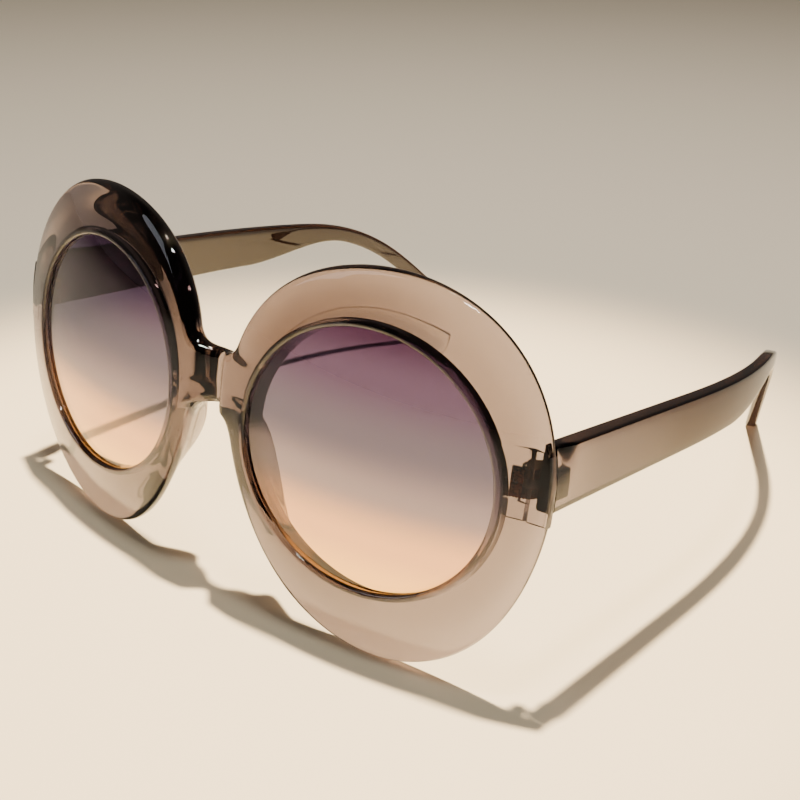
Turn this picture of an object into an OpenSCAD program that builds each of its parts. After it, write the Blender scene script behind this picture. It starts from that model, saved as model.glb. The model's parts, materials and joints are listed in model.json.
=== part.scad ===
// Oversized round sunglasses, standing open on a table.
// Each piece is drawn as it is worn, with the lens centres at height 0 and the temples
// running back along +Y, and is then leaned back so that rims and tips rest at z = 0.
// Sides are the wearer's: the left side is +X, and every right piece is its mirror image.

/* [Lenses] */
// Width of a lens opening
opening_w = 52.2; // [46:0.2:58]
// Height of a lens opening
opening_h = 48.2; // [42:0.2:54]
// Distance between the two lens centres
centres_w = 73.8; // [70:0.2:84]
// Radius of the curve of the front and of the lenses
base_r = 128; // [100:1:260]
// Angle by which each half of the front turns back
wrap_angle = 8.8; // [5:0.2:12]
// Thickness of a lens
lens_t = 1.6; // [1.4:0.1:2.2]
// Depth of a lens behind the front's face
lens_set = 1.2; // [1:0.1:1.8]
// How far a lens reaches into its groove
lens_bite = 0.8; // [0.5:0.1:1]
// Depth of the groove round the opening
groove_d = 1.3; // [1.2:0.1:1.6]
// Gap between a lens and each side of its groove
lens_gap = 0.08; // [0.04:0.01:0.15]
// Width of the rounded lip round the opening
lip_r = 0.9; // [0.5:0.1:1]
// Wall between the lens groove and the back of the front
back_wall = 0.7; // [0.6:0.1:1.4]

/* [Rims] */
// Width of the rim beside the opening, at the temple
rim_out = 9.4; // [8:0.1:12]
// Width of the rim at the upper corner by the temple
rim_out_top = 11.8; // [9:0.1:14]
// Width of the rim above the opening
rim_top = 10.6; // [8:0.1:13]
// Width of the rim at the upper corner by the nose
rim_nose_top = 8.5; // [7:0.1:10]
// Width of the rim beside the nose
rim_nose = 5.2; // [4.6:0.1:6]
// Width of the rim at the lower corner by the nose
rim_nose_low = 6.8; // [6:0.1:9]
// Width of the rim below the opening
rim_low = 13.7; // [10:0.1:16]
// Width of the rim at the lower corner by the temple
rim_out_low = 11.9; // [9:0.1:14]
// Thickness of the outer edge at the temple
edge_out = 1.6; // [1.4:0.1:2.4]
// Thickness of the outer edge at the top
edge_top = 4; // [2:0.1:4.5]
// Thickness of the outer edge at the nose
edge_nose = 6.2; // [4:0.1:7]
// Thickness of the outer edge at the bottom
edge_low = 2.6; // [2:0.1:4]

/* [Bridge and nose pads] */
// Height of the bridge's upper edge above the lens centres
bridge_top = 10.7; // [8:0.1:12]
// Height of the bridge's lower edge above the lens centres
bridge_low = 0.1; // [-1:0.1:2]
// Depth of the middle of the bridge behind the rims
bridge_set = 2.6; // [0.2:0.1:3]
// Thickness of the middle of the bridge
bridge_t = 2.6; // [2.4:0.1:3.4]
// Half the width over which the two halves blend
bridge_blend = 4.5; // [4:0.5:9]
// Height of a nose pad's upper end above the lens centres
pad_top = 3; // [0:0.5:6]
// Length of a nose pad
pad_l = 24; // [20:0.5:32]
// How far a nose pad stands behind the front
pad_rise = 4.3; // [3:0.1:6]

/* [Temples] */
// Length of a temple along its upper edge
temple_l = 148; // [130:1:156]
// Height of a temple at the hinge
temple_h = 11.9; // [10:0.1:14]
// Height of a temple just before its neck
temple_mid_h = 9.7; // [8:0.1:12]
// Height of a temple's drop end
temple_tip_h = 3.8; // [3.4:0.1:6]
// Thickness of a temple at the hinge
temple_t = 3.5; // [3.2:0.1:4]
// Thickness of a temple's drop end
temple_tip_t = 2.6; // [2.2:0.1:3.2]
// Height of a temple's upper edge above the lens centres
temple_top = 12.3; // [11:0.1:14]
// Distance from the hinge end to where the lower edge rises
neck_start = 60; // [50:1:66]
// Length over which the lower edge rises
neck_l = 34; // [28:1:40]
// Distance from the hinge end to where the temple starts to drop
drop_start = 77; // [70:1:84]
// Length over which the temple bends down
drop_l = 44; // [36:1:50]
// Angle of the drop end below the temple
drop_angle = 37.9; // [30:0.5:45]
// Distance from the hinge end to where the temple starts to curve in
curve_start = 39; // [30:1:50]
// Length over which the temple curves in
curve_l = 79; // [60:1:90]
// Angle by which the temple curves in
curve_angle = 26.6; // [15:0.5:28]
// Angle by which an open temple points outwards
splay_angle = 0.3; // [0:0.1:2]
// Rounding of a temple's long edges
temple_round = 0.6; // [0.3:0.1:0.9]
// Length over which a temple's outer face leaves the line of the rim
flush_l = 5; // [3:0.5:8]

/* [Hinges] */
// Height of the hinge's middle above the lens centres
hinge_mid = 4.5; // [3.4:0.1:5]
// Height of a hinge leaf
leaf_h = 5.1; // [4.8:0.1:6]
// Thickness of a hinge leaf
leaf_t = 0.9; // [0.8:0.05:1.1]
// Length of the leaf in the front, from the pin
front_leaf_l = 2.9; // [2.4:0.1:3]
// Length of the leaf in the temple, from the pin
temple_leaf_l = 4.6; // [4.2:0.1:8]
// Outer radius of a knuckle
knuckle_r = 1.4; // [1.3:0.05:1.5]
// Radius of the hinge screw's shank
pin_r = 0.7; // [0.6:0.02:0.74]
// Running gap round the screw's shank
pin_gap = 0.04; // [0.02:0.01:0.08]
// Gap between moving faces of the hinge
hinge_gap = 0.12; // [0.08:0.01:0.16]
// Radius of the screw's head
head_r = 1.25; // [1:0.05:1.4]
// Height of the screw's head
head_h = 0.7; // [0.5:0.05:0.9]
// Distance from a temple's inner face in to the hinge pin
pin_in = 2.3; // [1.6:0.1:2.6]
// Distance from the lens centres back to the hinge pin
pin_back = 12.9; // [12.6:0.1:13.4]
// Distance from the lens centres back to the block's end face
block_back = 12; // [11.9:0.05:12.2]
// Height of the hinge block on the front
block_h = 12.6; // [11:0.1:14]
// Height of the hinge block's upper end above the lens centres
block_top = 10.6; // [10:0.1:12]
// Plastic in front of the front's leaf
block_wall = 0.3; // [0.2:0.1:0.6]
// Distance from the opening to the block's inner end
block_step = 0.3; // [0.2:0.1:0.6]
// How far a leaf stands out of its plastic
leaf_proud = 0.35; // [0.2:0.05:0.5]
// Gap between a leaf and its pocket
leaf_gap = 0.04; // [0.02:0.01:0.1]
// Distance from the pin's middle to the front leaf's near side
front_leaf_off = 0.4; // [0.2:0.1:0.5]
// Radius of the hollow in the front's leaf
leaf_hole_r = 0.45; // [0.3:0.05:0.5]
// Distance of that hollow's middle from the leaf's end
leaf_hole_in = 0.9; // [0.8:0.05:1]
// Height of that hollow's middle above the leaf's middle
leaf_hole_up = 0.3; // [0:0.1:0.3]
// Length of the hollow in the temple's leaf
leaf_slot_l = 2.2; // [1.2:0.1:2.4]
// Height of the hollow in the temple's leaf
leaf_slot_h = 1.2; // [0.8:0.1:1.4]
// Distance from the pin to the hollow in the temple's leaf
leaf_slot_back = 1.6; // [1.5:0.1:1.8]
// Height of that hollow's middle above the temple leaf's middle
leaf_slot_up = 0.8; // [0:0.1:1]
// Width of the screw's slot
screw_slot = 0.4; // [0.3:0.05:0.5]
// Depth of the screw's slot
screw_slot_d = 0.35; // [0.2:0.05:0.4]

/* [Hidden] */
$fn = 64;

// One overrun for all cuts
over = 1;
// Share of the edge thickness that each of the two edge roundings takes
edge_round_share = 0.45;
// Share of the rim's width that keeps its full thickness for the groove
flat_share = 0.18;
// Share of a leaf's thickness that its hollow leaves
hollow_share = 0.5;
// Share of a knuckle's radius that the temple leaf's arm takes
arm_share = 0.8;
// Place of a nose pad's crest across the rim, as a share of the rim's width
crest_share = 0.35;
// Angles at which the rim's outline leaves for the bridge
blend_top_angle = 155;
blend_low_angle = 190;
// Places across the rim, as shares of the lip, of the face and of the edge's rounding
lip_shares = [0, 0.3, 1];
face_shares = [0.25, 0.5, 0.75];
edge_shares = [1, 0.55, 0.18, 0];
// The power of a sine that gives a nose pad its full ends
pad_power = 0.8;
// Numbers of rows round the rim, along a blend and across the bridge
rim_rows = 64;
blend_rows = 5;
bridge_rows = 4;
// Points across the face or the back of the rim, in the groove, and in a whole ring
face_n = len(lip_shares) + len(face_shares) + len(edge_shares);
groove_n = 4;
ring_n = 2 * face_n + groove_n;
// Stations along a temple and along its rounded end, and points in a corner of its section
temple_n = 48;
start_shares = [0, 0.3, 0.6];
end_n = 4;
corner_n = 3;
section_n = 4 * corner_n;
// Points round a lens, and facets round the sphere that it is cut from
lens_n = 90;
sphere_n = 180;
// Rounds of the search for the lean
lean_rounds = 12;

centre_x = centres_w / 2;
front_c = [centre_x - base_r * sin(wrap_angle), base_r * cos(wrap_angle)];
lens_face_r = base_r - lens_set;
lens_back_r = lens_face_r - lens_t;

// A smooth step from 0 to 1
function ease(f) = let (g = min(max(f, 0), 1)) g * g * (3 - 2 * g);
function mix(a, b, f) = a + (b - a) * f;

// Smooth closed curves through eight and through four even places round the opening
function wave8(v, a) = v * [
    for (k = [0:7])
        let (x = a - 45 * k)
        (1 + 2 * cos(x) + 2 * cos(2 * x) + 2 * cos(3 * x) + cos(4 * x)) / 8
];
function wave4(v, a) = v * [
    for (k = [0:3])
        let (x = a - 90 * k)
        (1 + 2 * cos(x) + cos(2 * x)) / 4
];

rim_ws = [rim_out, rim_out_top, rim_top, rim_nose_top, rim_nose, rim_nose_low, rim_low, rim_out_low];
edge_ts = [edge_out, edge_top, edge_nose, edge_low];

function rim_w(a) = wave8(rim_ws, a);
function edge_t(a) = wave4(edge_ts, a);
function opening_r(a) = 1 / norm([2 * cos(a) / opening_w, 2 * sin(a) / opening_h]);

// A point of the front's face, seen from the front, at polar place r, a round the lens centre
function on_face(r, a) =
    let (u = r * cos(a), v = r * sin(a), sag = base_r - sqrt(base_r * base_r - r * r))
    [centre_x + u * cos(wrap_angle) - sag * sin(wrap_angle), v];
function opening_at(a) = on_face(opening_r(a), a);
function outline_at(a) = on_face(opening_r(a) + rim_w(a), a);

// The depth of the front's face, and of a lens surface of radius r, at a place x, z
function soft_x(x) = x < bridge_blend ? (x * x / bridge_blend + bridge_blend) / 2 : x;
function face_y(p) = front_c[1] - sqrt(base_r * base_r - pow(soft_x(p[0]) - front_c[0], 2) - p[1] * p[1]);
function lens_y(p, r) = front_c[1] - sqrt(r * r - pow(p[0] - front_c[0], 2) - p[1] * p[1]);

// A blend from the rim's outline at angle a to the middle of the bridge at height h
function blend_at(a, h, f) =
    let (
        p0 = outline_at(a),
        d = outline_at(a + 1) - outline_at(a - 1),
        p1 = p0 + d * (h - p0[1]) / d[1],
        p2 = [0, h]
    )
    (1 - f) * (1 - f) * p0 + 2 * f * (1 - f) * p1 + f * f * p2;
top_mid_angle = atan2(bridge_top, -centre_x);
low_mid_angle = (atan2(bridge_low, -centre_x) + 360) % 360;

// The rows round a rim: the angle at the opening, and the outer point
rim_part = [
    for (i = [0:rim_rows])
        let (a = mix(blend_low_angle - 360, blend_top_angle, i / rim_rows))
        [a, outline_at(a)]
];
top_part = [
    for (i = [1:blend_rows])
        let (f = i / blend_rows)
        [mix(blend_top_angle, top_mid_angle, f), blend_at(blend_top_angle, bridge_top, f)]
];
mid_part = [
    for (i = [1:bridge_rows - 1])
        let (f = i / bridge_rows)
        [mix(top_mid_angle, low_mid_angle, f), [0, mix(bridge_top, bridge_low, f)]]
];
low_part = [
    for (i = [0:blend_rows - 1])
        let (f = i / blend_rows)
        [mix(low_mid_angle, blend_low_angle, f), blend_at(blend_low_angle, bridge_low, 1 - f)]
];
rows = concat(rim_part, top_part, mid_part, low_part);
outline = [for (r = concat(low_part, rim_part, top_part)) r[1]];
first_mid = len(rim_part) + len(top_part) - 1;
last_mid = first_mid + bridge_rows;

// The distance of a place from the outline
function off_line(p, a, b) =
    let (d = b - a, f = min(max((p - a) * d / (d * d), 0), 1))
    norm(p - a - d * f);
function off_edge(p) = min([for (i = [0:len(outline) - 2]) off_line(p, outline[i], outline[i + 1])]);
// The depth of a quarter round of radius r at distance d from its edge
function round_d(r, d) = d >= r ? 0 : r - sqrt(max(r * r - (r - d) * (r - d), 0));

// A nose pad's height at height z, and its share across the rim
function pad_at(z, f) =
    let (g = (z - pad_top + pad_l) / pad_l)
    g <= 0 || g >= 1 ? 0
    : pad_rise * pow(sin(180 * g), pad_power)
        * (f < crest_share ? pow(sin(90 * f / crest_share), 2) : pow(sin(90 * (1 - f) / (1 - crest_share)), 2));

// How far the front's face is sunk at a distance x from its middle
function sunk_at(x) = bridge_set * (1 - ease(x / bridge_blend));

// One closed ring of points through the rim: its face, its outer edge, its back and its groove
function ring(row) =
    let (
        a = row[0],
        p = opening_at(a),
        q = row[1],
        l = norm(q - p),
        d = (q - p) / l,
        e = mix(bridge_t, edge_t(a), ease(q[0] / bridge_blend)),
        r = edge_round_share * e,
        b = l - lip_r - r,
        places = concat(
            lip_shares * lip_r,
            [for (f = face_shares) lip_r + f * b],
            [for (f = edge_shares) l - f * r]
        ),
        nose = cos(a) < 0,
        back_t = e + sunk_at(q[0]),
        edge_in = max(lens_y(p, lens_back_r) + lens_gap + back_wall - face_y(p), back_t),
        face = [
            for (s = places)
                let (c = p + d * s)
                [c[0], face_y(c) + sunk_at(c[0]) + round_d(lip_r, s) + round_d(r, off_edge(c)), c[1]]
        ],
        back = [
            for (i = [face_n - 1:-1:0])
                let (
                    s = places[i],
                    f = s / l,
                    c = p + d * s,
                    t = mix(edge_in, back_t, ease((f - flat_share) / (1 - flat_share)))
                )
                [c[0], face_y(c) + t - round_d(r, off_edge(c)) + (nose ? pad_at(c[1], f) : 0), c[1]]
        ],
        g = p + d * groove_d,
        groove = [
            [p[0], lens_y(p, lens_back_r) + lens_gap, p[1]],
            [g[0], lens_y(g, lens_back_r) + lens_gap, g[1]],
            [g[0], lens_y(g, lens_face_r) - lens_gap, g[1]],
            [p[0], lens_y(p, lens_face_r) - lens_gap, p[1]],
        ]
    )
    concat(face, back, groove);

// The whole front in one skin: the two halves share their points in the middle plane
function shared(j, k) = j >= first_mid && j <= last_mid && (k == face_n - 1 || k == face_n);
function at(side, j, k) =
    let (jj = j % len(rows), kk = k % ring_n)
    jj * ring_n + kk + (side == 1 || shared(jj, kk) ? 0 : len(rows) * ring_n);
module front_skin() {
    half = [for (r = rows) each ring(r)];
    points = concat(half, [for (p = half) [-p[0], p[1], p[2]]]);
    faces = [
        for (side = [1, -1], j = [0:len(rows) - 1], k = [0:ring_n - 1])
            if (!(shared(j, k) && shared((j + 1) % len(rows), k) && k == face_n - 1))
                let (
                    a = at(side, j, k),
                    b = at(side, j + 1, k),
                    c = at(side, j + 1, k + 1),
                    d = at(side, j, k + 1)
                )
                each side == 1 ? [[a, b, c], [a, c, d]] : [[a, c, b], [a, d, c]]
    ];
    polyhedron(points, faces, convexity = 10);
}

// The temples: a flat bar that follows its upper outer edge
temple_x = outline_at(0)[0];
step = temple_l / temple_n;
function yaw_at(s) = curve_angle * ease((s - curve_start) / curve_l) - splay_angle;
function drop_at(s) = drop_angle * ease((s - drop_start) / drop_l);
function along(s) = [-sin(yaw_at(s)) * cos(drop_at(s)), cos(yaw_at(s)) * cos(drop_at(s)), -sin(drop_at(s))];
function outward(s) = [cos(yaw_at(s)), sin(yaw_at(s)), 0];
function tall_at(s) =
    let (h = mix(temple_h, temple_mid_h, min(s / neck_start, 1)))
    mix(h, temple_tip_h, ease((s - neck_start) / neck_l));
function thick_at(s) = mix(temple_t, temple_tip_t, min(s / drop_start, 1));
// How far the rim's outline lies inside a temple's outer face at height z, near the hinge
outer_line = [for (r = rim_part) if (abs(r[0]) < 60) [r[1][1], r[1][0]]];
function trim_at(z, s) = (temple_x - lookup(z, outer_line)) * (1 - ease(s / flush_l));
temple_path = [
    for (
        i = 0, p = [temple_x, block_back + hinge_gap, temple_top];
        i <= temple_n;
        p = p + along((i + 0.5) * step) * step, i = i + 1
    ) p
];
// The stations along a temple: the place, the distance and the share of the full section
end_l = temple_tip_h / 2;
stations = concat(
    [for (f = start_shares) [temple_path[0] + along(0) * f * step, f * step, 1]],
    [for (i = [1:temple_n - 1]) [temple_path[i], i * step, 1]],
    [
        for (i = [0:end_n])
            let (f = sin(90 * i / (end_n + 0.5)))
            [
                temple_path[temple_n] + along(temple_l) * (f - 1) * end_l,
                temple_l,
                sqrt(1 - f * f),
            ]
    ]
);
function section(st) =
    let (
        p = st[0],
        s = st[1],
        h = tall_at(s),
        t = thick_at(s),
        r = temple_round,
        o = outward(s),
        d = cross(along(s), o),
        mid = p - o * t / 2 + d * h / 2,
        k = st[2]
    )
    [
        for (c = [0:3], i = [0:corner_n - 1])
            let (
                b = 90 * (c + i / (corner_n - 1)),
                u = (c == 0 || c == 3 ? t / 2 - r : r - t / 2) + r * cos(b),
                v = (c < 2 ? h / 2 - r : r - h / 2) + r * sin(b),
                q = mid + (o * u - d * v) * k
            )
            q - [u > 0 ? trim_at(q[2], s) : 0, 0, 0]
    ];
module temple_bar() {
    points = [for (st = stations) each section(st)];
    n = len(stations);
    faces = concat(
        [
            for (j = [0:n - 2], k = [0:section_n - 1])
                let (
                    a = j * section_n + k,
                    b = j * section_n + (k + 1) % section_n,
                    c = b + section_n,
                    d = a + section_n
                )
                each [[a, c, b], [a, d, c]]
        ],
        [for (k = [1:section_n - 2]) [0, k, k + 1]],
        [for (k = [1:section_n - 2]) let (e = (n - 1) * section_n) [e, e + k + 1, e + k]]
    );
    polyhedron(points, faces, convexity = 6);
}

// The hinge: a pin beside the temple's inner face, and leaves let into both plastics
pin_x = temple_x - temple_t - pin_in;
block_yaw = wrap_angle + asin((pin_x - centre_x) / base_r);
knuckle_h = (leaf_h - 2 * hinge_gap) / 3;
module at_pin() {
    translate([pin_x, pin_back, hinge_mid]) children();
}
module front_leaf_plate(grow) {
    translate([-front_leaf_l - grow, -front_leaf_off - leaf_t - grow, -leaf_h / 2 - grow])
        cube([front_leaf_l + 2 * grow, leaf_t + 2 * grow, leaf_h + 2 * grow]);
}
module temple_leaf_plate(grow) {
    translate([pin_in - leaf_proud - grow, -grow, -leaf_h / 2 - grow])
        cube([leaf_t + 2 * grow, temple_leaf_l + 2 * grow, leaf_h + 2 * grow]);
}
module knuckle(z) {
    translate([0, 0, z]) cylinder(h = knuckle_h, r = knuckle_r);
}
module pin_bore() {
    translate([0, 0, -leaf_h / 2 - over]) cylinder(h = leaf_h + 2 * over, r = pin_r + pin_gap);
}

// The lean that brings the rims' lowest points and the temple tips to one level
rim_feet = [
    for (r = rim_part)
        let (e = edge_t(r[0]), y = face_y(r[1]))
        each [[y + edge_round_share * e, r[1][1]], [y + (1 - edge_round_share) * e, r[1][1]]]
];
tip_feet = [for (i = [len(stations) - end_n - 3:len(stations) - 1], p = section(stations[i])) [p[1], p[2]]];
function low_of(pts, lean) = min([for (p = pts) p[1] * cos(lean) - p[0] * sin(lean)]);
function find_lean(lean, n) =
    n == 0 ? lean
    : find_lean(lean - asin((low_of(rim_feet, lean) - low_of(tip_feet, lean)) / temple_l), n - 1);
lean = find_lean(0, lean_rounds);
lift = -low_of(rim_feet, lean);
face_ys = [
    for (r = rim_part, f = face_shares)
        let (c = mix(opening_at(r[0]), r[1], f))
        face_y(c) * cos(lean) + c[1] * sin(lean)
];
tip_ys = [for (p = tip_feet) p[0] * cos(lean) + p[1] * sin(lean)];
middle_y = (min(face_ys) + max(tip_ys)) / 2;
module worn() {
    translate([0, -middle_y, lift]) rotate([-lean, 0, 0]) children();
}
module left_side() {
    worn() children();
}
module right_side() {
    worn() mirror([1, 0, 0]) children();
}

module hinge_block() {
    at_pin() {
        // The seat of the leaf, in line with the front's face
        rotate([0, 0, block_yaw])
            translate([-rim_out, -front_leaf_off - leaf_t - block_wall, block_top - hinge_mid - block_h])
            cube([rim_out + knuckle_r, leaf_t + block_wall - leaf_proud, block_h]);
        // The end face that stops the temple
        translate([knuckle_r, block_back - pin_back - edge_out, block_top - hinge_mid - block_h])
            cube([temple_t + pin_in - knuckle_r, edge_out, block_h]);
    }
}
// The space between the rim's outline and its opening, to which the blocks are trimmed
module rim_column() {
    translate([0, block_back, 0])
        rotate([90, 0, 0])
        linear_extrude(height = block_back)
        difference() {
            polygon([for (r = rim_part) r[1]]);
            polygon([for (i = [0:lens_n - 1]) let (a = 360 * i / lens_n) on_face(opening_r(a) + block_step, a)]);
        }
}
module trimmed_block() {
    intersection() {
        hinge_block();
        rim_column();
    }
}
module hinge_pocket() {
    at_pin() {
        rotate([0, 0, block_yaw]) front_leaf_plate(leaf_gap);
        translate([0, 0, -leaf_h / 2 - hinge_gap - head_h])
            cylinder(h = leaf_h + 2 * (hinge_gap + head_h), r = knuckle_r + hinge_gap);
    }
}

module front_frame() {
    color("rosybrown", 0.6)
        worn()
        difference() {
            union() {
                front_skin();
                trimmed_block();
                mirror([1, 0, 0]) trimmed_block();
            }
            hinge_pocket();
            mirror([1, 0, 0]) hinge_pocket();
        }
}

module lens() {
    rim = [for (i = [0:lens_n - 1]) let (a = 360 * i / lens_n) on_face(opening_r(a) + lens_bite, a)];
    intersection() {
        translate([front_c[0], front_c[1], 0])
            difference() {
                sphere(r = lens_face_r, $fn = sphere_n);
                sphere(r = lens_back_r, $fn = sphere_n);
            }
        translate([0, block_back, 0])
            rotate([90, 0, 0])
            linear_extrude(height = 2 * block_back)
            polygon(rim);
    }
}
module lens_left() {
    color("mediumorchid", 0.5) left_side() lens();
}
module lens_right() {
    color("mediumorchid", 0.5) right_side() lens();
}

module temple() {
    difference() {
        temple_bar();
        at_pin() temple_leaf_plate(leaf_gap);
    }
}
module temple_left() {
    color("rosybrown", 0.6) left_side() temple();
}
module temple_right() {
    color("rosybrown", 0.6) right_side() temple();
}

module hinge_front_leaf() {
    at_pin()
        difference() {
            union() {
                rotate([0, 0, block_yaw]) front_leaf_plate(0);
                knuckle(-leaf_h / 2);
                knuckle(leaf_h / 2 - knuckle_h);
            }
            pin_bore();
            // Room for the temple's knuckle
            translate([0, 0, -knuckle_h / 2 - hinge_gap])
                cylinder(h = knuckle_h + 2 * hinge_gap, r = knuckle_r + hinge_gap);
            // The hollow that the plastic fills
            rotate([0, 0, block_yaw])
                translate([leaf_hole_in - front_leaf_l, -front_leaf_off - hollow_share * leaf_t, leaf_hole_up])
                rotate([90, 0, 0])
                cylinder(h = leaf_t + over, r = leaf_hole_r);
        }
}
module hinge_front_leaf_left() {
    color("goldenrod") left_side() hinge_front_leaf();
}
module hinge_front_leaf_right() {
    color("goldenrod") right_side() hinge_front_leaf();
}

module hinge_temple_leaf() {
    at_pin()
        difference() {
            union() {
                temple_leaf_plate(0);
                knuckle(-knuckle_h / 2);
                // The arm from the leaf in to its knuckle
                translate([0, 0, -knuckle_h / 2]) cube([pin_in, arm_share * knuckle_r, knuckle_h]);
            }
            pin_bore();
            // Room for the front's two knuckles
            for (z = [-leaf_h / 2 - over, knuckle_h / 2])
                translate([0, 0, z])
                    cylinder(h = knuckle_h + hinge_gap + over, r = knuckle_r + hinge_gap);
            // The hollow that the plastic fills
            translate([
                pin_in - leaf_proud + hollow_share * leaf_t,
                leaf_slot_back,
                leaf_slot_up - leaf_slot_h / 2,
            ])
                cube([leaf_t + over, leaf_slot_l, leaf_slot_h]);
        }
}
module hinge_temple_leaf_left() {
    color("goldenrod") left_side() hinge_temple_leaf();
}
module hinge_temple_leaf_right() {
    color("goldenrod") right_side() hinge_temple_leaf();
}

module hinge_screw() {
    at_pin()
        difference() {
            union() {
                translate([0, 0, -leaf_h / 2]) cylinder(h = leaf_h + head_h - screw_slot_d, r = pin_r);
                translate([0, 0, leaf_h / 2]) cylinder(h = head_h, r = head_r);
            }
            translate([-head_r - over, -screw_slot / 2, leaf_h / 2 + head_h - screw_slot_d])
                cube([2 * (head_r + over), screw_slot, screw_slot_d + over]);
        }
}
module hinge_screw_left() {
    color("khaki") left_side() hinge_screw();
}
module hinge_screw_right() {
    color("khaki") right_side() hinge_screw();
}

front_frame();
lens_left();
lens_right();
temple_left();
temple_right();
hinge_front_leaf_left();
hinge_front_leaf_right();
hinge_temple_leaf_left();
hinge_temple_leaf_right();
hinge_screw_left();
hinge_screw_right();
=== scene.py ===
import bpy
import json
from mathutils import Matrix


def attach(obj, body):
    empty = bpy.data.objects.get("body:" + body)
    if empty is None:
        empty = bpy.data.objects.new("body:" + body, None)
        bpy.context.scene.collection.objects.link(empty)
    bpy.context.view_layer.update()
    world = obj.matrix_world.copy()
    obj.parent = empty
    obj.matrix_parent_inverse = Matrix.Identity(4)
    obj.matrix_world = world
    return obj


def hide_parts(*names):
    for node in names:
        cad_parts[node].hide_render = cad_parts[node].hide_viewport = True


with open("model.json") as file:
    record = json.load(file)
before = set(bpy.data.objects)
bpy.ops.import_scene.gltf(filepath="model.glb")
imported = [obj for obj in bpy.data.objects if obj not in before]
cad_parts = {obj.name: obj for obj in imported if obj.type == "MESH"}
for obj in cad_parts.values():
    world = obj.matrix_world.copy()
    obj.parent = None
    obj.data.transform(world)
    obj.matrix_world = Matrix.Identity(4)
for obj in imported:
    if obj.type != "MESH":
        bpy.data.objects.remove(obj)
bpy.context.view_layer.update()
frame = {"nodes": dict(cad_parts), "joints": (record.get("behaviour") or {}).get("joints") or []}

import json
import math

import bmesh
import bpy
import numpy as np
from mathutils import Matrix, Vector

# Oversized round sunglasses, all in metres. Each piece is laid out as it is worn, with the
# lens centres at height 0 and the temples running back along +Y, and then leaned into place.

sides = {"left": 1, "right": -1}
weld = 1e-7  # points nearer than this become one
foldLeft = next(joint for joint in frame["joints"] if joint["child"] == "temple_left")

front = {
    "openingWidth": 0.0522,
    "openingHeight": 0.0482,
    "lensCentre": 0.0369,  # from the middle of the bridge
    "faceRadius": 0.128,
    "wrap": 8.8,  # degrees
    # every 45 degrees, from the temple side over the top
    "rimWidths": (0.0094, 0.0118, 0.0106, 0.0094, 0.0052, 0.0068, 0.0137, 0.0119),
    "edges": (0.0016, 0.0032, 0.0044, 0.0026),  # thickness at the temple, top, nose and bottom
    "innerEdges": (0, 0.0056, 0.0062, 0.0042),  # the least thickness beside the opening
    "edgeRoundShare": 0.45,
    "flatShare": 0.18,
    "lip": 0.0009,
    "backLip": 0.0003,
    "grooveDepth": 0.0013,
    "backWall": 0.0007,
    "bridgeTop": 0.0107,
    "bridgeLow": 0.0001,
    "bridgeSet": 0.0026,
    "bridgeThick": 0.0026,
    "bridgeBlend": 0.0045,
    "blendTopAngle": 155,  # degrees round the opening
    "blendLowAngle": 190,
    "padTop": 0.003,
    "padLength": 0.024,
    "padRise": 0.0043,
    "padCrestShare": 0.35,
    "padPower": 0.8,
    "rimRows": 264,
    "blendRows": 22,
    "bridgeRows": 14,
    "lipSteps": 6,
    "faceSteps": 14,
    "edgeSteps": 9,
    "crease": 38,  # degrees between two faces that show a sharp line
}
lens = {
    "thickness": 0.0016,
    "behindFace": 0.0012,
    "bite": 0.0008,
    "gap": 0.00008,
    "rings": 30,
    "spokes": 144,
    "crease": 38,
}
temple = {
    "length": 0.148,
    "height": 0.0119,
    "middleHeight": 0.0097,
    "tipHeight": 0.0038,
    "thickness": 0.0035,
    "tipThickness": 0.0026,
    "top": 0.0123,
    "neckStart": 0.060,
    "neckLength": 0.034,
    "dropStart": 0.077,
    "dropLength": 0.044,
    "dropAngle": 37.9,
    "curveStart": 0.039,
    "curveLength": 0.079,
    "curveAngle": 26.6,
    "splay": 0.3,
    "rounding": 0.0006,
    "flushLength": 0.005,
    "stations": 240,
    "endSteps": 9,
    "cornerSteps": 6,
    "sideSteps": 7,
    "outlineReach": 60,  # degrees of the rim's outline, up and down, that the hinge end follows
    "outlineSteps": 121,
    "crease": 50,
}
hinge = {
    "back": 0.0129,  # from the lens centres to the pin
    "middle": 0.0045,
    "knuckle": 0.0014,
    "gap": 0.00012,
    "leafHeight": 0.0051,
    "leafThickness": 0.0009,
    "frontLeaf": 0.0029,
    "teeth": 5,
    "toothPitch": 0.00055,
    "toothShare": 0.94,  # of the leaf's thickness
    "toothCrease": 30,
    "frontLeafOff": 0.0004,
    "proud": 0.00035,
    "blockBack": 0.012,
    "blockHeight": 0.0126,
    "blockTop": 0.0106,
    "blockWall": 0.0003,
    "blockStep": 0.0003,
    "blockFront": 0.001,
    "blockBevel": 0.00025,
    "stopBevel": 0.0001,
    "blockBevelSteps": 3,
    "openingStep": 4,  # degrees between the points of the cut that follows the opening
    "headHeight": 0.0007,
    "roomSegments": 48,
    "metalWeld": 1e-6,
    "metalFlat": 3,  # degrees between faces that become one
    "bevelAbove": 40,  # degrees between the faces of an edge that is rounded
    "bevelSteps": 2,
    "leafBevel": 0.00006,
    "screwBevel": 0.00008,
    "metalCrease": 38,
}

pinWorn = Vector((foldLeft["pos_m"][0], hinge["back"], hinge["middle"]))
lean = math.atan2(foldLeft["axis"][1], foldLeft["axis"][2])
leanBack = Matrix.Rotation(-lean, 3, "X")
placed = Matrix.Translation(Vector(foldLeft["pos_m"]) - leanBack @ pinWorn) @ leanBack.to_4x4()


def cosd(angle):
    return np.cos(np.radians(angle))


def sind(angle):
    return np.sin(np.radians(angle))


def ease(share):
    share = np.clip(share, 0, 1)
    return share * share * (3 - 2 * share)


def mix(low, high, share):
    return low + (high - low) * share


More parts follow.
